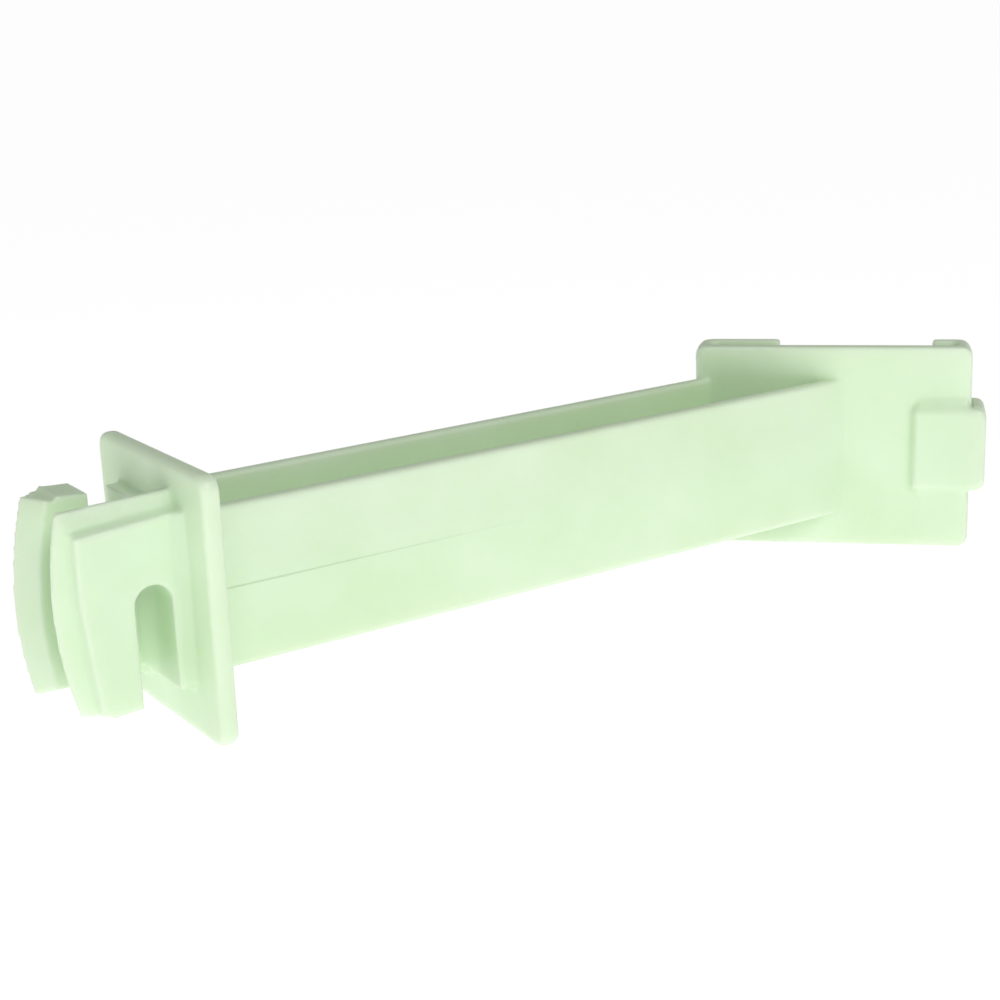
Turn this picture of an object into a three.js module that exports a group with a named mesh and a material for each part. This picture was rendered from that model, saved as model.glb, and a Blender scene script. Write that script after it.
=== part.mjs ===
import * as THREE from 'three';

// Offset fence insulator: a one-piece plastic moulding that clips on the front flange of a
// steel T-post and holds a fence rope about 125 mm away from it.
// Millimetres, +Z up along the post, +X along the arm from the clamp to the head, +Y towards
// the side the near jaw is on. The origin is on the seat face, where the post's centre line
// meets it at half the clamp's height.
// The moulding is drawn as its functional sections, GAP apart, so each is one closed body.

const GAP = 0.3;

// Post clamp. Its own frame is turned CLAMP_TURN about Z: local +X is the front normal of the
// clamp plate and local +Y runs along the plate to the snap finger's end.
const CLAMP_TURN = Math.PI / 4;
const CLAMP_HALF_HEIGHT = 18.15;
const PLATE_THICK = 2.6;
const CLAMP_LEFT = -27.2;
const CLAMP_RIGHT = 21.5;
const WALL_THICK = 2.6;
const CLAMP_REAR = -5.4;
const HOOK_THICK = 2.0;
const LEFT_HOOK_TIP = -12.0;
const RIGHT_HOOK_TIP = 14.6;
const RIGHT_WINDOW = 8.6;
const SEAT_RELIEF = 0.3;
const FRONT_CORNER = 2.4;
const LEFT_REAR_CORNER = 3.6;
const RIGHT_REAR_CORNER = 3.0;

// Snap finger and the raised pad it grows from.
const PAD_PROUD = 1.5;
const PAD_START = 11.4;
const PAD_HALF = 7.5;
const PAD_LIP = 1.5;
const FINGER_OUT = 24.1;
const FINGER_REAR = -6.6;
const FINGER_HALF = 7.2;
const BARB_FRONT = -3.6;
const BARB_TIP = 16.2;

// Arm: two upright walls with a web across them at half height.
const ARM_AXIS_Y = -8.2;
const ARM_WIDTH = 18.7;
const ARM_HALF_HEIGHT = 12.3;
const ARM_WALL = 2.5;
const WEB_THICK = 2.4;
const EDGE = 1.0;

// Head plate and the low boss on its front.
const HEAD_REAR = 127.2;
const HEAD_THICK = 3.0;
const HEAD_HALF_WIDTH = 18.5;
const HEAD_TOP = 19.6;
const HEAD_BOTTOM = -20.6;
const HEAD_CORNER = 2.4;
const BOSS_THICK = 2.3;
const BOSS_HALF_WIDTH = 10.9;
const BOSS_HALF_HEIGHT = 13.1;

// Jaws. Heights and distances are given for the near jaw, rooted at the top; the far jaw is
// the near one turned half a turn about the arm's axis.
const JAW_INNER = 3.2;
const JAW_RIM = 8.06;
const JAW_FACE = 10.9;
const ROOT_TOP_AT_HEAD = 16.3;
const ROOT_TOP_AT_NOSE = 15.8;
const NOSE_ROOT = 147.6;
const NOSE_MID = 149.2;
const NOSE_FREE = 146.7;
const NOSE_MID_Z = 1.5;
const FREE_END = -14.1;
const BLOCK_END = -14.4;
const LEAD_IN = 2.3;
const INNER_DROP = 1.8;
const BLOCK_STEP_X = 143.2;
const SLOT_REAR = 132.5;
const SLOT_FRONT = 138.2;
const CROWN_Z = 0.6;
const FACE_TOP_AT_HEAD = 13.5;
const FACE_TOP_AT_NOSE = 12.3;
const FACE_NOSE_ROOT = 146.0;
const FACE_NOSE_FREE = 144.3;

const COLOURS = {
  moulding: 0xd3ebc8,
  finger: 0xd0e8c5,
};

function arcPoints(cx, cy, r, from, to, steps) {
  const out = [];
  for (let i = 0; i <= steps; i++) {
    const a = from + (to - from) * i / steps;
    out.push([cx + r * Math.cos(a), cy + r * Math.sin(a)]);
  }
  return out;
}

// Corners [x, y, radius] moved inward by d along both of their edges.
function insetCorners(corners, d) {
  const n = corners.length;
  return corners.map(([x, y, r = 0], i) => {
    const a = corners[(i + n - 1) % n];
    const b = corners[(i + 1) % n];
    const e1 = new THREE.Vector2(x - a[0], y - a[1]).normalize();
    const e2 = new THREE.Vector2(b[0] - x, b[1] - y).normalize();
    const m = new THREE.Vector2(-e1.y - e2.y, e1.x + e2.x);
    const k = 2 * d / m.lengthSq();
    const turn = e1.x * e2.y - e1.y * e2.x;
    return [x + m.x * k, y + m.y * k, r > 0 ? Math.max(0.05, turn > 0 ? r - d : r + d) : 0];
  });
}

// An anticlockwise polygon with each corner rounded by its own radius, moved inward by d.
function rounded(corners, steps = 5, d = 0) {
  const moved = insetCorners(corners, d);
  const out = [];
  const n = moved.length;
  for (let i = 0; i < n; i++) {
    const [x, y, r] = moved[i];
    if (r <= 0) { out.push([x, y]); continue; }
    const p = moved[(i + n - 1) % n];
    const q = moved[(i + 1) % n];
    const a = new THREE.Vector2(p[0] - x, p[1] - y).normalize();
    const b = new THREE.Vector2(q[0] - x, q[1] - y).normalize();
    const half = Math.acos(Math.max(-1, Math.min(1, a.dot(b)))) / 2;
    const reach = r / Math.tan(half);
    const mid = a.clone().add(b).normalize().multiplyScalar(r / Math.sin(half));
    const cx = x + mid.x;
    const cy = y + mid.y;
    const s = Math.atan2(y + a.y * reach - cy, x + a.x * reach - cx);
    let e = Math.atan2(y + b.y * reach - cy, x + b.x * reach - cx);
    while (e - s > Math.PI) e -= 2 * Math.PI;
    while (e - s < -Math.PI) e += 2 * Math.PI;
    out.push(...arcPoints(cx, cy, r, s, e, steps));
  }
  return out;
}

// Skin through rings of equal count, with flat caps, facing outward.
function loft(rings) {
  const count = rings[0].flat.length;
  const verts = [];
  for (const r of rings) for (const p of r.flat) verts.push(r.place(p[0], p[1]));
  const faces = [];
  for (let k = 0; k + 1 < rings.length; k++) {
    for (let i = 0; i < count; i++) {
      const j = (i + 1) % count;
      const a = k * count + i;
      const b = k * count + j;
      const c = (k + 1) * count + j;
      const d = (k + 1) * count + i;
      faces.push([a, b, c], [a, c, d]);
    }
  }
  const cap = (r, base, flip) => {
    const flat = r.flat.map((p) => new THREE.Vector2(p[0], p[1]));
    for (const t of THREE.ShapeUtils.triangulateShape(flat, [])) {
      const f = t.map((v) => v + base);
      faces.push(flip ? [f[0], f[2], f[1]] : f);
    }
  };
  cap(rings[0], 0, true);
  cap(rings[rings.length - 1], (rings.length - 1) * count, false);
  let volume = 0;
  for (const [a, b, c] of faces) volume += verts[a].dot(verts[b].clone().cross(verts[c]));
  const index = [];
  for (const [a, b, c] of faces) index.push(...(volume > 0 ? [a, b, c] : [a, c, b]));
  const geo = new THREE.BufferGeometry();
  geo.setAttribute('position', new THREE.Float32BufferAttribute(verts.flatMap((v) => [v.x, v.y, v.z]), 3));
  geo.setIndex(index);
  geo.computeVertexNormals();
  return geo;
}

const ALONG = {
  z: (w) => (u, v) => new THREE.Vector3(u, v, w),
  x: (w) => (u, v) => new THREE.Vector3(w, u, v),
};

// A polygon of rounded corners pushed along an axis, its two end rims rounded by r.
function prism(corners, from, to, r, axis, steps = 5) {
  const rings = [];
  const rim = 3;
  const level = (w, d) => rings.push({ flat: rounded(corners, steps, d), place: ALONG[axis](w) });
  if (r > 0) {
    for (let i = 0; i <= rim; i++) {
      const a = Math.PI / 2 * i / rim;
      level(from + r * (1 - Math.cos(a)), r * (1 - Math.sin(a)));
    }
    for (let i = rim; i >= 0; i--) {
      const a = Math.PI / 2 * i / rim;
      level(to - r * (1 - Math.cos(a)), r * (1 - Math.sin(a)));
    }
  } else {
    level(from, 0);
    level(to, 0);
  }
  return loft(rings);
}

function makeMesh(name, geometry, colour) {
  const mesh = new THREE.Mesh(geometry, new THREE.MeshStandardMaterial({
    name, color: colour, roughness: 0.5, metalness: 0,
  }));
  mesh.name = name;
  return mesh;
}

const part = new THREE.Group();
part.name = 'fence_insulator';
const add = (group, name, geometry, colour = COLOURS.moulding) => group.add(makeMesh(name, geometry, colour));

// Clamp, in its own frame.
const clamp = new THREE.Group();
clamp.name = 'post_clamp';
clamp.rotation.z = CLAMP_TURN;
part.add(clamp);

const H = CLAMP_HALF_HEIGHT;
const leftInner = CLAMP_LEFT + WALL_THICK;
const rightInner = CLAMP_RIGHT - WALL_THICK;
const plateStart = leftInner + 1.5;

add(clamp, 'clamp_front_plate', prism([
  [0, plateStart], [PLATE_THICK, plateStart],
  [PLATE_THICK, CLAMP_RIGHT, 1.0], [SEAT_RELIEF, CLAMP_RIGHT],
  [SEAT_RELIEF, rightInner - GAP], [0, rightInner - GAP],
], -H, H, 0.7, 'z'));

// Deep return on the left, into which one edge of the flange is slid first.
add(clamp, 'clamp_left_wall', prism([
  [CLAMP_REAR, CLAMP_LEFT, LEFT_REAR_CORNER], [PLATE_THICK, CLAMP_LEFT, FRONT_CORNER],
  [PLATE_THICK, plateStart - GAP], [0, plateStart - GAP],
  [0, leftInner], [CLAMP_REAR + HOOK_THICK, leftInner, 1.2],
  [CLAMP_REAR + HOOK_THICK, leftInner + 3.6], [CLAMP_REAR, leftInner + 3.6],
], -H, H, 0.7, 'z'));
add(clamp, 'clamp_left_hook', prism([
  [CLAMP_REAR, leftInner + 3.6 + GAP], [CLAMP_REAR + HOOK_THICK, leftInner + 3.6 + GAP],
  [CLAMP_REAR + HOOK_THICK, LEFT_HOOK_TIP, 0.9], [CLAMP_REAR, LEFT_HOOK_TIP, 0.9],
], -H, H, 0.7, 'z'));

// Shallow returns on the right, above and below the snap finger.
for (const [side, low, high] of [['upper', RIGHT_WINDOW, H], ['lower', -H, -RIGHT_WINDOW]]) {
  add(clamp, `clamp_right_${side}_wall`, prism([
    [CLAMP_REAR, rightInner - 2.4], [CLAMP_REAR + HOOK_THICK, rightInner - 2.4],
    [CLAMP_REAR + HOOK_THICK, rightInner, 1.0], [SEAT_RELIEF - GAP, rightInner],
    [SEAT_RELIEF - GAP, CLAMP_RIGHT], [CLAMP_REAR, CLAMP_RIGHT, RIGHT_REAR_CORNER],
  ], low, high, 0.6, 'z'));
  add(clamp, `clamp_right_${side}_hook`, prism([
    [CLAMP_REAR, RIGHT_HOOK_TIP, 0.9], [CLAMP_REAR + HOOK_THICK, RIGHT_HOOK_TIP, 0.9],
    [CLAMP_REAR + HOOK_THICK, rightInner - 2.4 - GAP], [CLAMP_REAR, rightInner - 2.4 - GAP],
  ], low, high, 0.6, 'z'));
}

// Raised pad, lying over the plate and lapping round its end as a short lip.
const padFace = PLATE_THICK + PAD_PROUD;
add(clamp, 'finger_pad', prism([
  [PLATE_THICK + GAP, PAD_START], [padFace, PAD_START, 0.7], [padFace, FINGER_OUT, 1.1],
  [PAD_LIP, FINGER_OUT], [PAD_LIP, CLAMP_RIGHT + GAP], [PLATE_THICK + GAP, CLAMP_RIGHT + GAP],
], -PAD_HALF, PAD_HALF, 0.3, 'z'));

// Finger: carries on back from the pad's lip, with a barb behind the flange.
add(clamp, 'snap_finger_leg', prism([
  [FINGER_REAR, CLAMP_RIGHT + GAP], [PAD_LIP - GAP, CLAMP_RIGHT + GAP],
  [PAD_LIP - GAP, FINGER_OUT], [FINGER_REAR, FINGER_OUT, 1.0],
], -FINGER_HALF, FINGER_HALF, 0.7, 'z'), COLOURS.finger);
add(clamp, 'snap_finger_barb', prism([
  [FINGER_REAR, CLAMP_RIGHT], [FINGER_REAR + 0.7, BARB_TIP, 0.5], [BARB_FRONT, BARB_TIP, 0.5], [BARB_FRONT, CLAMP_RIGHT],
], -FINGER_HALF, FINGER_HALF, 0.5, 'z'), COLOURS.finger);

// Arm walls end on the slanted front face of the clamp plate.
const nearOuter = ARM_AXIS_Y + ARM_WIDTH / 2;
const nearInner = nearOuter - ARM_WALL;
const farOuter = ARM_AXIS_Y - ARM_WIDTH / 2;
const farInner = farOuter + ARM_WALL;
const faceAt = (y) => (PLATE_THICK + GAP) * Math.SQRT2 - y;
const armEnd = HEAD_REAR - GAP;
const A = ARM_HALF_HEIGHT;
add(part, 'arm_near_wall', prism([
  [faceAt(nearInner), nearInner], [armEnd, nearInner], [armEnd, nearOuter], [faceAt(nearOuter), nearOuter],
], -A, A, EDGE, 'z'));
add(part, 'arm_far_wall', prism([
  [faceAt(farOuter), farOuter], [armEnd, farOuter], [armEnd, farInner], [faceAt(farInner), farInner],
], -A, A, EDGE, 'z'));
const webNear = nearInner - GAP;
const webFar = farInner + GAP;
add(part, 'arm_centre_web', prism([
  [faceAt(webFar), webFar], [armEnd, webFar], [armEnd, webNear], [faceAt(webNear), webNear],
], -WEB_THICK / 2, WEB_THICK / 2, 0, 'z'));

// Head.
const headFront = HEAD_REAR + HEAD_THICK;
const bossFront = headFront + BOSS_THICK;
add(part, 'head_plate', prism([
  [ARM_AXIS_Y - HEAD_HALF_WIDTH, HEAD_BOTTOM, HEAD_CORNER], [ARM_AXIS_Y + HEAD_HALF_WIDTH, HEAD_BOTTOM, HEAD_CORNER],
  [ARM_AXIS_Y + HEAD_HALF_WIDTH, HEAD_TOP, HEAD_CORNER], [ARM_AXIS_Y - HEAD_HALF_WIDTH, HEAD_TOP, HEAD_CORNER],
], HEAD_REAR, headFront, 1.1, 'x'));
add(part, 'head_boss', prism([
  [ARM_AXIS_Y - BOSS_HALF_WIDTH, -BOSS_HALF_HEIGHT, 0.8], [ARM_AXIS_Y + BOSS_HALF_WIDTH, -BOSS_HALF_HEIGHT, 0.8],
  [ARM_AXIS_Y + BOSS_HALF_WIDTH, BOSS_HALF_HEIGHT, 0.8], [ARM_AXIS_Y - BOSS_HALF_WIDTH, BOSS_HALF_HEIGHT, 0.8],
], headFront + GAP, bossFront, 0, 'x'));

// The nose is one shallow curve through its root, middle and free end.
function noseX(z) {
  const [za, zb, zc] = [ROOT_TOP_AT_NOSE, NOSE_MID_Z, FREE_END];
  return NOSE_ROOT * (z - zb) * (z - zc) / ((za - zb) * (za - zc))
    + NOSE_MID * (z - za) * (z - zc) / ((zb - za) * (zb - zc))
    + NOSE_FREE * (z - za) * (z - zb) / ((zc - za) * (zc - zb));
}
const slotMid = (SLOT_REAR + SLOT_FRONT) / 2;
const slotRadius = (SLOT_FRONT - SLOT_REAR) / 2;
const NOSE_STEPS = 8;

// A jaw has three outlines in arm length and height: its inner side, pulled back at the nose and
// top as a lead-in for the rope, its rim, where it is largest, and its raised outer face.
function noseOf(level, z) {
  if (level === 'face') return THREE.MathUtils.lerp(FACE_NOSE_ROOT, FACE_NOSE_FREE, Math.max(0, (3 - z) / 17));
  return noseX(z) - (level === 'inner' ? LEAD_IN : 0);
}
function noseLine(level, from, to) {
  const out = [];
  for (let i = 0; i <= NOSE_STEPS; i++) {
    const z = from + (to - from) * i / NOSE_STEPS;
    out.push([noseOf(level, z), z]);
  }
  return out;
}
function rootRing(level) {
  const low = CROWN_Z + GAP / 2;
  const drop = level === 'inner' ? INNER_DROP : 0;
  const top = level === 'face' ? FACE_TOP_AT_NOSE : ROOT_TOP_AT_NOSE - drop;
  const headTop = level === 'face' ? FACE_TOP_AT_HEAD : ROOT_TOP_AT_HEAD - drop;
  const startX = bossFront + GAP;
  const a0 = Math.acos((startX - slotMid) / slotRadius);
  const a1 = Math.asin((low - CROWN_Z) / slotRadius);
  const crown = arcPoints(slotMid, CROWN_Z, slotRadius, a0, a1, 10);
  const ledge = level === 'face' ? startX - 0.1 : headFront + GAP;
  const step = BOSS_HALF_HEIGHT + (level === 'face' ? 0.2 : GAP);
  return [...crown, ...noseLine(level, low, top), [ledge, headTop], [ledge, step], [startX, step]];
}
function legRing(level) {
  const high = CROWN_Z - GAP / 2;
  const end = level === 'face' ? FREE_END + 0.1 : FREE_END;
  return [
    [SLOT_FRONT, high], [SLOT_FRONT, BLOCK_END], [BLOCK_STEP_X - 0.4, BLOCK_END], [BLOCK_STEP_X, end],
    ...noseLine(level, end, high),
  ];
}
function jaw(ring, turn) {
  const place = (offset) => (x, z) => new THREE.Vector3(x, ARM_AXIS_Y + turn * offset, turn * z);
  return loft([
    { flat: ring('inner'), place: place(JAW_INNER) },
    { flat: ring('rim'), place: place(JAW_RIM) },
    { flat: ring('face'), place: place(JAW_FACE) },
  ]);
}
for (const [side, turn] of [['near', 1], ['far', -1]]) {
  add(part, `${side}_jaw_root`, jaw(rootRing, turn));
  add(part, `${side}_jaw_leg`, jaw(legRing, turn));
}

export default part;
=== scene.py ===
import math

import bmesh
import bpy
from mathutils import Euler, Matrix, Vector


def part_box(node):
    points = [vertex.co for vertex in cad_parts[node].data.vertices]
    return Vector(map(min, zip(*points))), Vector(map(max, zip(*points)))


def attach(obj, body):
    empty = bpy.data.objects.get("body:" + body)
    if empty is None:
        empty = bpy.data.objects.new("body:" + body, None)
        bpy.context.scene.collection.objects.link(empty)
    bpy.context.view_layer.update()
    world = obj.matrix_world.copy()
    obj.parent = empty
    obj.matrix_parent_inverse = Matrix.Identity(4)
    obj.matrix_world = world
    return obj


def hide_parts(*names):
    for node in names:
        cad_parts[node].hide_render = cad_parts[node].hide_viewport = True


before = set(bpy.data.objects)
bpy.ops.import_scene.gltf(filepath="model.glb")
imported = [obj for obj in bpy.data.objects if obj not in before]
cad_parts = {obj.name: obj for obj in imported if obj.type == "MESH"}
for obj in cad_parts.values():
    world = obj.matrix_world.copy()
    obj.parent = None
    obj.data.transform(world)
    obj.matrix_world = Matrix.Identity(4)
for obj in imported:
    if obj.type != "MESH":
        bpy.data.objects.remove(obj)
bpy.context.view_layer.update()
mm = 0.001
tiny = 0.0001   # two points nearer than this are the same point
near = 0.01      # slack when edges are picked by where they lie


def boxOf(node):  # lowest and highest corner of a CAD node, in millimetres
    low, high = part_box(node)
    return low / mm, high / mm


# working sizes read from the frame
headLow, headHigh = boxOf("head_plate")
nearLow, nearHigh = boxOf("arm_near_wall")
farLow, farHigh = boxOf("arm_far_wall")
webLow, webHigh = boxOf("arm_centre_web")
bossLow, bossHigh = boxOf("head_boss")
clampHalf = boxOf("clamp_front_plate")[1].z
axisY = (nearHigh.y + farLow.y) / 2
print("frame read, arm axis at y =", round(axisY, 2))


# bmesh helpers, in millimetres
segments = {"corner": 7, "rim": 3, "crown": 8, "fingerRear": 4}


def roundOff(bm, edges, radius, steps):
    bmesh.ops.bevel(bm, geom=edges, offset=radius, offset_type="OFFSET", segments=steps, profile=0.5,
                    affect="EDGES", clamp_overlap=False, material=-1)


def prism(corners, start, end, axis="z", rounds=None, rim=0.0):
    # an outline pushed along an axis; rounds gives a radius by corner number, rim softens both ends
    bm = bmesh.new()
    place = {"x": lambda u, v: (start, u, v),
             "y": lambda u, v: (u, start, v),
             "z": lambda u, v: (u, v, start)}[axis]
    push = {"x": (1, 0, 0), "y": (0, 1, 0), "z": (0, 0, 1)}[axis]
    k = "xyz".index(axis)

    def flat(point):  # the point without its distance along the axis
        return Vector([c if i != k else 0 for i, c in enumerate(point)])

    verts = [bm.verts.new(place(u, v)) for u, v in corners]
    face = bm.faces.new(verts)
    made = bmesh.ops.extrude_face_region(bm, geom=[face])
    moved = [g for g in made["geom"] if isinstance(g, bmesh.types.BMVert)]
    bmesh.ops.translate(bm, verts=moved, vec=Vector(push) * (end - start))
    bmesh.ops.recalc_face_normals(bm, faces=bm.faces)
    for number, radius in (rounds or {}).items():
        spot = flat(place(*corners[number]))
        roundOff(bm, [e for e in bm.edges if all((flat(w.co) - spot).length < tiny for w in e.verts)],
                 radius, segments["corner"])
    if rim > 0:
        caps = [e for e in bm.edges if all(abs(w.co[k] - start) < tiny for w in e.verts)
                or all(abs(w.co[k] - end) < tiny for w in e.verts)]
        roundOff(bm, caps, rim, segments["rim"])
    return bm


def turned(bm, matrix):
    bmesh.ops.transform(bm, matrix=matrix, verts=bm.verts)
    return bm


def gather(parts):  # several closed solids into one mesh
    whole = bpy.data.meshes.new("gathered")
    bm = bmesh.new()
    for part in parts:
        bmesh.ops.recalc_face_normals(part, faces=part.faces)
        spare = bpy.data.meshes.new("spare")
        part.to_mesh(spare)
        part.free()
        bm.from_mesh(spare)
        bpy.data.meshes.remove(spare)
    bm.to_mesh(whole)
    bm.free()
    return whole


evenPull = 0.5   # share of the way to its neighbours' middle that a point moves in one smoothing


def fuse(name, parts, voxel, smooth, thin=1.0):  # parts run into one skin with soft edges
    mesh = gather(parts)
    obj = bpy.data.objects.new(name, mesh)
    bpy.context.scene.collection.objects.link(obj)
    remesh = obj.modifiers.new("skin", "REMESH")
    remesh.mode = "VOXEL"
    remesh.voxel_size = voxel
    remesh.adaptivity = 0
    remesh.use_smooth_shade = True
    soften = obj.modifiers.new("soften", "SMOOTH")
    soften.factor = evenPull
    soften.iterations = smooth
    if thin < 1:
        fewer = obj.modifiers.new("fewer", "DECIMATE")
        fewer.ratio = thin
    bpy.context.view_layer.update()
    done = bpy.data.meshes.new_from_object(obj.evaluated_get(bpy.context.evaluated_depsgraph_get()))
    bpy.data.objects.remove(obj)
    print(name, "fused,", len(done.polygons), "faces")
    return done


def cropped(parts, outline, start, end, radius, voxel):  # parts kept inside a round-cornered block
    obj = bpy.data.objects.new("cropped", fuse("rough clamp", parts, voxel, 0))
    cutterBm = prism(outline, start, end, axis="x", rounds={k: radius for k in range(len(outline))})
    cutterMesh = bpy.data.meshes.new("cutter")
    cutterBm.to_mesh(cutterMesh)
    cutterBm.free()
    cutter = bpy.data.objects.new("cutter", cutterMesh)
    for each in (obj, cutter):
        bpy.context.scene.collection.objects.link(each)
    trim = obj.modifiers.new("trim", "BOOLEAN")
    trim.operation = "INTERSECT"
    trim.object = cutter
    trim.solver = "EXACT"
    bpy.context.view_layer.update()
    done = bpy.data.meshes.new_from_object(obj.evaluated_get(bpy.context.evaluated_depsgraph_get()))
    for each in (obj, cutter):
        bpy.data.objects.remove(each)
    bm = bmesh.new()
    bm.from_mesh(done)
    return bm


def finished(name, bm, body, nodes, material):
    bmesh.ops.scale(bm, vec=(mm, mm, mm), verts=bm.verts)
    mesh = bpy.data.meshes.new(name)
    bm.to_mesh(mesh)
    bm.free()
    mesh.materials.append(material)
    obj = bpy.data.objects.new(name, mesh)
    bpy.context.scene.collection.objects.link(obj)
    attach(obj, body)
    if nodes:
        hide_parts(*nodes)
    return obj


waves = {
    "cloud": {"scale": 55, "detail": 3, "rough": 0.5, "low": 0.35, "high": 0.70},   # broad milky variation
    "fine": {"scale": 620, "detail": 4, "rough": 0.6, "low": 0.30, "high": 0.75},   # mould grain
    "flow": {"scale": 170, "detail": 2, "rough": 0.5, "low": 0.40, "high": 0.62},   # flow waves
    "wobble": {"scale": 90, "detail": 2, "rough": 0.5},
}
# the parting-line ridge: a bump for the ridge itself and a darker colour that is painted shade along it
partingRidgeAndShade = {
    "core": 0.00006, "edge": 0.00018, "wobble": 0.00012, "fadeStart": 0.070, "fadeEnd": 0.115,
    "stop": 0.1268, "gone": 0.1275, "turned": 0.90, "square": 0.97, "shadeTone": (0.66, 0.70, 0.58, 1),
    "shadeStrength": 0.55, "raise": 2.2,
}
surface = {
    "cloudMix": 0.55, "flowShine": 0.10, "fineShine": 0.06, "flowRelief": 0.8,
    "bump": 0.35, "bumpDepth": 0.00012,
}


def plasticGroup():
    group = bpy.data.node_groups.new("mouldedPlastic", "ShaderNodeTree")
    for name, kind, value in (("Base", "NodeSocketColor", (0.7, 0.85, 0.6, 1)),
                              ("Tint", "NodeSocketColor", (0.6, 0.8, 0.5, 1)),
                              ("Roughness", "NodeSocketFloat", 0.42),
                              ("Grain", "NodeSocketFloat", 0.3),
                              ("Line", "NodeSocketFloat", 0.5)):
        socket = group.interface.new_socket(name, in_out="INPUT", socket_type=kind)
        socket.default_value = value
    group.interface.new_socket("Color", in_out="OUTPUT", socket_type="NodeSocketColor")
    group.interface.new_socket("Roughness", in_out="OUTPUT", socket_type="NodeSocketFloat")
    group.interface.new_socket("Normal", in_out="OUTPUT", socket_type="NodeSocketVector")
    nodes, links = group.nodes, group.links

    def node(kind, **settings):
        made = nodes.new(kind)
        for key, value in settings.items():
            setattr(made, key, value)
        return made

    def join(a, b):
        links.new(a, b)

    def maths(operation, a, b=None):
        made = node("ShaderNodeMath", operation=operation)
        for socket, value in zip(made.inputs, (a, b)):
            if value is None:
                continue
            if isinstance(value, (int, float)):
                socket.default_value = value
            else:
                join(value, socket)
        return made.outputs[0]

    def noise(wave):
        made = node("ShaderNodeTexNoise")
        made.inputs["Scale"].default_value = wave["scale"]
        made.inputs["Detail"].default_value = wave["detail"]
        made.inputs["Roughness"].default_value = wave["rough"]
        join(coords.outputs["Object"], made.inputs["Vector"])
        return made.outputs["Fac"]

    def ramp(fac, low, high, a=0.0, b=1.0):
        made = node("ShaderNodeMapRange", clamp=True)
        for key, value in (("From Min", low), ("From Max", high), ("To Min", a), ("To Max", b)):
            made.inputs[key].default_value = value
        join(fac, made.inputs["Value"])
        return made.outputs["Result"]

    given = node("NodeGroupInput")
    result = node("NodeGroupOutput")
    coords = node("ShaderNodeTexCoord")
    split = node("ShaderNodeSeparateXYZ")
    join(coords.outputs["Object"], split.inputs[0])
    geometry = node("ShaderNodeNewGeometry")
    facing = node("ShaderNodeSeparateXYZ")
    join(geometry.outputs["Normal"], facing.inputs[0])

    cloud, fine, flow = [ramp(noise(waves[name]), waves[name]["low"], waves[name]["high"])
                         for name in ("cloud", "fine", "flow")]

    mix = node("ShaderNodeMix", data_type="RGBA")
    join(maths("MULTIPLY", cloud, surface["cloudMix"]), mix.inputs["Factor"])
    join(given.outputs["Base"], mix.inputs["A"])
    join(given.outputs["Tint"], mix.inputs["B"])

    # parting-line ridge at half height, on the upright faces, strongest at the head and gone by mid arm; its
    # darker colour is painted shade along the ridge, its bump lifts the ridge itself
    p = partingRidgeAndShade
    height = maths("ABSOLUTE", split.outputs["Z"])
    wobble = maths("MULTIPLY", maths("SUBTRACT", noise(waves["wobble"]), 0.5), p["wobble"])
    line = ramp(maths("ADD", height, wobble), p["core"], p["edge"], 1.0, 0.0)
    along = maths("MULTIPLY", ramp(split.outputs["X"], p["fadeStart"], p["fadeEnd"]),
                  ramp(split.outputs["X"], p["stop"], p["gone"], 1.0, 0.0))
    sideways = ramp(maths("ABSOLUTE", facing.outputs["Y"]), p["turned"], p["square"])
    seamAndShade = maths("MULTIPLY", maths("MULTIPLY", line, along), sideways)
    seamAndShade = maths("MULTIPLY", seamAndShade, given.outputs["Line"])

    # painted shade: the colour is darkened along the parting-line ridge
    paintedSeamShade = node("ShaderNodeMix", data_type="RGBA", blend_type="MULTIPLY")
    join(maths("MULTIPLY", seamAndShade, p["shadeStrength"]), paintedSeamShade.inputs["Factor"])
    join(mix.outputs["Result"], paintedSeamShade.inputs["A"])
    paintedSeamShade.inputs["B"].default_value = p["shadeTone"]
    join(paintedSeamShade.outputs["Result"], result.inputs["Color"])

    flowShine = maths("MULTIPLY", maths("SUBTRACT", flow, 0.5), surface["flowShine"])
    fineShine = maths("MULTIPLY", maths("SUBTRACT", fine, 0.5), surface["fineShine"])
    shine = maths("ADD", given.outputs["Roughness"], flowShine)
    join(maths("ADD", shine, fineShine), result.inputs["Roughness"])

    relief = maths("ADD", maths("MULTIPLY", fine, given.outputs["Grain"]),
                   maths("MULTIPLY", flow, surface["flowRelief"]))
    relief = maths("ADD", relief, maths("MULTIPLY", seamAndShade, p["raise"]))
    bump = node("ShaderNodeBump")
    bump.inputs["Strength"].default_value = surface["bump"]
    bump.inputs["Distance"].default_value = surface["bumpDepth"]
    join(relief, bump.inputs["Height"])
    join(bump.outputs["Normal"], result.inputs["Normal"])
    return group


plasticEffect = plasticGroup()
pale = {"Base": (0.71, 0.865, 0.645, 1), "Tint": (0.63, 0.80, 0.53, 1), "Roughness": 0.38, "Grain": 0.5}
plasticLook = {"moulding": {**pale, "Line": 1.0}, "finger": {**pale, "Line": 0.0}}
milky = {"IOR": 1.52, "Specular IOR Level": 0.42, "Subsurface Weight": 0.5,
         "Subsurface Radius": (1.0, 1.0, 0.8), "Subsurface Scale": 0.004}


def plastic(slot):
    material = bpy.data.materials.new(slot)
    material.use_nodes = True
    nodes, links = material.node_tree.nodes, material.node_tree.links
    shader = nodes["Principled BSDF"]
    effect = nodes.new("ShaderNodeGroup")
    effect.node_tree = plasticEffect
    for key, value in plasticLook[slot].items():
        effect.inputs[key].default_value = value
    links.new(effect.outputs["Color"], shader.inputs["Base Color"])
    links.new(effect.outputs["Roughness"], shader.inputs["Roughness"])
    links.new(effect.outputs["Normal"], shader.inputs["Normal"])
    for key, value in milky.items():
        shader.inputs[key].default_value = value
    return material


mouldingPlastic = plastic("moulding")
fingerPlastic = plastic("finger")

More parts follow.
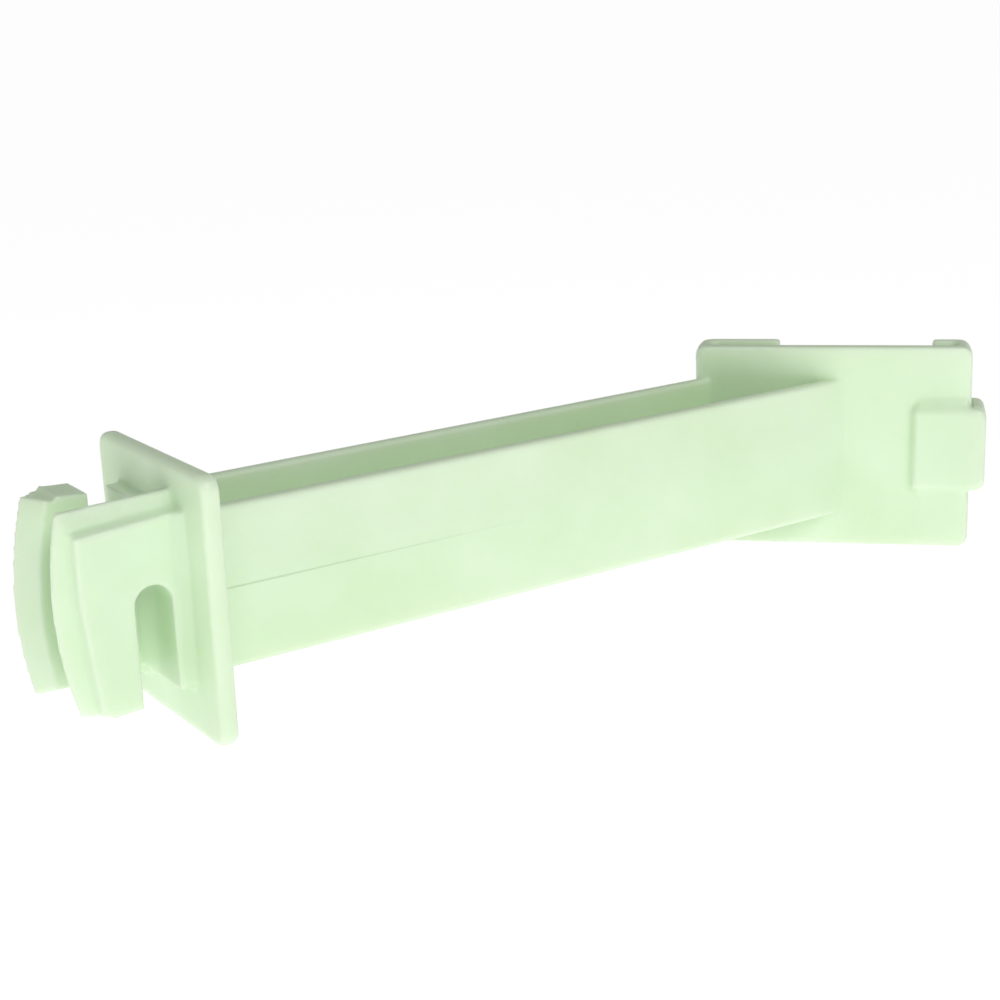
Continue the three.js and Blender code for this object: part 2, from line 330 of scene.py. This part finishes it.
# the clamp is drawn square and then turned on to the arm
clamp = {
    "turn": 45.0, "left": -26.9, "right": 21.5, "thick": 2.6, "wall": 2.6, "rear": -5.4, "hook": 2.0,
    "leftTip": -12.0, "rightTip": 14.6, "window": 8.6, "frontRound": 2.2, "leftRound": 3.6, "rightRound": 3.0,
    "cornerRound": 1.9, "endRound": 0.9, "seatRound": 1.4, "seatEndRound": 0.8, "hookRound": 0.7,
    "rightSeatRound": 1.0, "overlap": 0.5, "margin": 2.0, "voxel": 0.5,
}
pad = {"face": 4.1, "start": 11.4, "end": 24.1, "lip": 1.5, "half": 7.5, "foot": 1.3,
       "round": 1.8, "rim": 1.1, "startRound": 0.7, "sink": 1.0,
       "footDrop": 0.4, "footRise": 0.3, "footStart": 1.0, "footEnd": 0.6}
onArm = Matrix.Rotation(math.radians(clamp["turn"]), 4, "Z")


def clampSection():
    c = clamp
    inLeft, inRight = c["left"] + c["wall"], c["right"] - c["wall"]
    behind = c["rear"] + c["hook"]
    end, overlap = c["endRound"], c["overlap"]
    parts = [prism([(c["rear"], c["left"]), (c["thick"], c["left"]), (c["thick"], c["right"]),
                    (0, c["right"]), (0, inLeft), (behind, inLeft), (behind, c["leftTip"]),
                    (c["rear"], c["leftTip"])],
                   -clampHalf, clampHalf,
                   rounds={0: c["leftRound"], 1: c["frontRound"], 2: end, 5: c["seatRound"],
                           4: c["seatEndRound"], 6: c["hookRound"], 7: end})]
    for low, high in ((c["window"], clampHalf), (-clampHalf, -c["window"])):
        parts.append(prism([(c["rear"], c["rightTip"]), (behind, c["rightTip"]), (behind, inRight),
                            (overlap, inRight), (overlap, c["right"]), (c["rear"], c["right"])], low, high,
                           rounds={0: end, 1: c["hookRound"], 2: c["rightSeatRound"], 5: c["rightRound"]}))
    block = [(c["left"], -clampHalf), (c["right"], -clampHalf),
             (c["right"], clampHalf), (c["left"], clampHalf)]
    return [turned(cropped(parts, block, c["rear"] - c["margin"], c["thick"] + c["margin"],
                           c["cornerRound"], c["voxel"]), onArm)]


def fingerPad():  # the raised pad, with its lip past the plate's end and a sloping foot above and below
    c, p = clamp, pad
    half, inside, foot = p["half"], c["thick"] - p["sink"], p["half"] + p["foot"]
    raised = prism([(p["start"], -half), (p["end"], -half), (p["end"], half), (p["start"], half)],
                   p["lip"], p["face"], axis="x",
                   rounds={0: p["startRound"], 1: p["round"], 2: p["round"], 3: p["startRound"]},
                   rim=p["rim"])
    parts = [raised]
    for side in (1, -1):
        parts.append(prism([(inside, side * foot), (c["thick"], side * foot),
                            (p["face"] - p["footDrop"], side * (half - p["footRise"])),
                            (inside, side * (half - p["footRise"]))],
                           p["start"] + p["footStart"], c["right"] - p["footEnd"], axis="y"))
    return [turned(part, onArm) for part in parts]


arm = {"turnIn": 1.6, "edge": 0.6, "intoHead": 1.0, "webIn": 1.0, "webOverlap": 0.5}


def onPlate(y, depth):  # x on a plane parallel to the clamp plate, depth behind its front
    return (clamp["thick"] - depth) * math.sqrt(2) - y


def armSection():
    parts = []
    headEnd = headLow.x + arm["intoHead"]
    for low, high in ((nearLow, nearHigh), (farLow, farHigh)):
        wall = prism([(onPlate(low.y, arm["turnIn"]), low.y), (headEnd, low.y),
                      (headEnd, high.y), (onPlate(high.y, arm["turnIn"]), high.y)], low.z, high.z)
        rims = [e for e in wall.edges if abs(e.verts[0].co.z - e.verts[1].co.z) < near
                and abs(e.verts[0].co.y - e.verts[1].co.y) < near]
        roundOff(wall, rims, arm["edge"], segments["rim"])
        parts.append(wall)
    farSide, nearSide = farHigh.y - arm["webOverlap"], nearLow.y + arm["webOverlap"]
    parts.append(prism([(onPlate(farHigh.y, arm["webIn"]), farSide), (headEnd, farSide),
                        (headEnd, nearSide), (onPlate(nearLow.y, arm["webIn"]), nearSide)],
                       webLow.z, webHigh.z))
    return parts


head = {"corner": 2.4, "rim": 1.0, "fillet": 1.8, "sink": 0.3, "filletShort": 1.0, "bossSink": 1.0}
jaw = {
    "inner": 3.2, "rim": 8.06, "face": 10.9, "topAtHead": 16.3, "topAtNose": 15.8,
    "faceAtHead": 13.5, "faceAtNose": 12.3, "faceNoseRoot": 146.0, "faceNoseFree": 144.3, "noseSteps": 12,
    "taperFrom": 3.0, "taperLength": 17.0, "faceShort": 0.1, "footSink": 1.0, "footLow": -2.0,
    "leadIn": 2.3, "innerDrop": 1.8, "stepOffset": 9.2, "stepShare": 0.88,
    "noseRoot": 147.6, "noseMid": 149.2, "noseFree": 146.7, "midHeight": 1.5,
    "freeEnd": -14.5, "notch": 0.45, "notchWide": 0.3, "blockEnd": -14.8, "blockSlope": 0.4,
    "blockStep": 143.2, "slotRear": 132.5, "slotFront": 138.2, "crown": 3.45, "crownRound": 2.8,
}


def noseAt(z):  # one shallow bow through the nose's root, middle and free end
    a, b, c = jaw["topAtNose"], jaw["midHeight"], jaw["freeEnd"]
    return (jaw["noseRoot"] * (z - b) * (z - c) / ((a - b) * (a - c))
            + jaw["noseMid"] * (z - a) * (z - c) / ((b - a) * (b - c))
            + jaw["noseFree"] * (z - a) * (z - b) / ((c - a) * (c - b)))


def jawOutline(level):  # side view of the jaw at its inner side, its rim or its raised face
    j = jaw
    foot = headHigh.x - j["footSink"]
    drop = j["innerDrop"] if level == "inner" else 0
    topHead = j["faceAtHead"] if level == "face" else j["topAtHead"] - drop
    topNose = j["faceAtNose"] if level == "face" else j["topAtNose"] - drop
    end = j["freeEnd"] + (j["faceShort"] if level == "face" else 0)
    nose = []
    for k in range(j["noseSteps"] + 1):
        z = topNose + (end - topNose) * k / j["noseSteps"]
        if level == "face":
            share = max(0.0, (j["taperFrom"] - z) / j["taperLength"])
            x = j["faceNoseRoot"] + (j["faceNoseFree"] - j["faceNoseRoot"]) * share
        else:
            x = noseAt(z) - (j["leadIn"] if level == "inner" else 0)
        nose.append((x, z))
    return [(foot, topHead), *nose, (j["blockStep"], end + j["notch"]),
            (j["blockStep"] - j["notchWide"], j["blockEnd"]),
            (j["slotFront"], j["blockEnd"] + j["blockSlope"]),
            (j["slotFront"], j["crown"]), (j["slotRear"], j["crown"]),
            (j["slotRear"], j["footLow"]), (foot, j["footLow"])]


def between(first, second, share):  # an outline part of the way from one to another
    return [tuple(a + (b - a) * share for a, b in zip(p, q)) for p, q in zip(first, second)]


def jawSolid():
    # inner side, rim, foot of the raised face and the face, each outline extruded from the last
    j = jaw
    bm = bmesh.new()
    rim, raised = jawOutline("rim"), jawOutline("face")
    outlines = [(j["inner"], jawOutline("inner")), (j["rim"], rim),
                (j["stepOffset"], between(rim, raised, j["stepShare"])), (j["face"], raised)]
    ring = [bm.verts.new((x, outlines[0][0], z)) for x, z in outlines[0][1]]
    face = bm.faces.new(ring)
    for offset, outline in outlines[1:]:
        before = [tuple(v.co) for v in ring]
        made = bmesh.ops.extrude_face_region(bm, geom=[face])
        fresh = {tuple(v.co): v for v in made["geom"] if isinstance(v, bmesh.types.BMVert)}
        face = next(g for g in made["geom"] if isinstance(g, bmesh.types.BMFace))
        ring = [fresh[key] for key in before]
        for v, (x, z) in zip(ring, outline):
            v.co = (x, offset, z)
    bmesh.ops.recalc_face_normals(bm, faces=bm.faces)
    crowns = [e for e in bm.edges if all(abs(v.co.z - j["crown"]) < near for v in e.verts)
              and abs(e.verts[0].co.y - e.verts[1].co.y) > near]
    roundOff(bm, crowns, j["crownRound"], segments["crown"])
    bmesh.ops.triangulate(bm, faces=bm.faces)
    return bm


def faceOn(low, high):  # the four corners of a box seen along the arm
    return [(low.y, low.z), (high.y, low.z), (high.y, high.z), (low.y, high.z)]


def headSection():
    h, outer = head, jaw["face"] - head["sink"]
    plate = prism(faceOn(headLow, headHigh), headLow.x, headHigh.x, axis="x",
                  rounds={k: h["corner"] for k in range(4)}, rim=h["rim"])
    boss = prism(faceOn(bossLow, bossHigh), headHigh.x - h["bossSink"], bossHigh.x, axis="x")
    parts = [plate, boss]
    for half in (0, 1):
        about = Matrix.Translation((0, axisY, 0)) @ Matrix.Rotation(math.pi * half, 4, "X")
        parts.append(turned(jawSolid(), about))
        side = prism([(headHigh.x - h["sink"], outer), (headHigh.x + h["fillet"], outer),
                      (headHigh.x - h["sink"], jaw["face"] + h["fillet"])],
                     -bossHigh.z + h["filletShort"], jaw["faceAtHead"])
        parts.append(turned(side, about))
    return parts


skin = {"voxel": 0.36, "smooth": 5, "thin": 0.38}
whole = bmesh.new()
sections = clampSection() + fingerPad() + armSection() + headSection()
whole.from_mesh(fuse("moulding", sections, skin["voxel"], skin["smooth"], skin["thin"]))
rootNodes = [n for n in sorted(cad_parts) if not n.startswith("snap_finger")]
finished("moulding", whole, "moulding", rootNodes, mouldingPlastic)
print("moulding built")

finger = {"start": 21.8, "out": 24.1, "front": 1.42, "rear": -6.6, "half": 7.35,
          "round": 1.6, "rearRound": 1.1, "barbFront": -3.6, "barbTip": 16.2,
          "barbLip": 0.7, "barbInset": 0.3, "barbRound": 0.5,
          "barbSink": 1.0, "voxel": 0.25, "smooth": 3}


def fingerSolid():
    f = finger
    leg = prism([(f["start"], -f["half"]), (f["out"], -f["half"]),
                 (f["out"], f["half"]), (f["start"], f["half"])],
                f["rear"], f["front"], axis="x", rounds={1: f["round"], 2: f["round"]})
    behind = [e for e in leg.edges if all(abs(v.co.x - f["rear"]) < near for v in e.verts)]
    roundOff(leg, behind, f["rearRound"], segments["fingerRear"])
    root, half = f["out"] - f["barbSink"], f["half"] - f["barbInset"]
    barb = prism([(f["rear"], root), (f["rear"] + f["barbLip"], f["barbTip"]), (f["barbFront"], f["barbTip"]),
                  (f["barbFront"], root)], -half, half, rounds={1: f["barbRound"], 2: f["barbRound"]})
    return [turned(part, onArm) for part in (leg, barb)]


fingerMesh = fuse("snapFinger", fingerSolid(), finger["voxel"], finger["smooth"])
fingerBm = bmesh.new()
fingerBm.from_mesh(fingerMesh)
finished("snapFinger", fingerBm, "snap_finger", ["snap_finger_leg", "snap_finger_barb"],
         fingerPlastic)
print("finger built")

stage = {"floor": -200.0, "size": 60.0,   # height in millimetres, half width in metres
         "colour": (0.93, 0.935, 0.93, 1), "glowColour": (1, 1, 1, 1), "glow": 0.70, "roughness": 0.9}
floorMesh = bpy.data.meshes.new("floor")
floorBm = bmesh.new()
bmesh.ops.create_grid(floorBm, x_segments=1, y_segments=1, size=stage["size"])
bmesh.ops.translate(floorBm, verts=floorBm.verts, vec=(0, 0, stage["floor"] * mm))
floorBm.to_mesh(floorMesh)
floorBm.free()
floorObject = bpy.data.objects.new("floor", floorMesh)
bpy.context.scene.collection.objects.link(floorObject)
floorMaterial = bpy.data.materials.new("floorPaper")
floorMaterial.use_nodes = True
paper = floorMaterial.node_tree.nodes["Principled BSDF"].inputs
paper["Base Color"].default_value = stage["colour"]
paper["Roughness"].default_value = stage["roughness"]
paper["Emission Color"].default_value = stage["glowColour"]
paper["Emission Strength"].default_value = stage["glow"]
floorMesh.materials.append(floorMaterial)

# the lens sees white past the floor's edge; the object is lit by the softer level
surround = {"colour": (1, 1, 1, 1), "lit": 0.30, "seen": 1.0}
world = bpy.data.worlds.new("studio")
bpy.context.scene.world = world
world.use_nodes = True
worldNodes, worldLinks = world.node_tree.nodes, world.node_tree.links
worldNodes["Background"].inputs["Color"].default_value = surround["colour"]
rayKind = worldNodes.new("ShaderNodeLightPath")
level = worldNodes.new("ShaderNodeMath")
level.operation = "MULTIPLY_ADD"
level.inputs[1].default_value = surround["seen"] - surround["lit"]
level.inputs[2].default_value = surround["lit"]
worldLinks.new(rayKind.outputs["Is Camera Ray"], level.inputs[0])
worldLinks.new(level.outputs[0], worldNodes["Background"].inputs["Strength"])

lights = {
    "key": {"spot": (0.52, 0.56, -0.095), "size": 0.20, "power": 0.20},
    "front": {"spot": (0.75, 0.02, 0.02), "size": 0.45, "power": 0.65},
    "side": {"spot": (0.10, 0.78, 0.02), "size": 0.45, "power": 0.10},
    "high": {"spot": (0.10, 0.50, 0.42), "size": 0.35, "power": 1.6},
}
aim = Vector((0.07, -0.008, 0.0))
for name, given in lights.items():
    data = bpy.data.lights.new(name, "AREA")
    data.shape = "DISK"
    data.size = given["size"]
    data.energy = given["power"]
    lamp = bpy.data.objects.new(name, data)
    lamp.location = given["spot"]
    lamp.rotation_euler = (aim - Vector(given["spot"])).to_track_quat("-Z", "Y").to_euler()
    bpy.context.scene.collection.objects.link(lamp)

view = {"place": (232.0, 238.4, 86.2), "turn": (73.89, 2.08, 146.02), "lens": 67.7,
        "sensor": 36.0, "nearest": 0.01}
cameraData = bpy.data.cameras.new("camera")
cameraData.lens = view["lens"]
cameraData.sensor_width = view["sensor"]
cameraData.clip_start = view["nearest"]
camera = bpy.data.objects.new("camera", cameraData)
camera.location = Vector(view["place"]) * mm
camera.rotation_euler = Euler([math.radians(a) for a in view["turn"]])
bpy.context.scene.collection.objects.link(camera)
bpy.context.scene.camera = camera
bpy.context.scene.view_settings.view_transform = "Standard"
print("stage set")
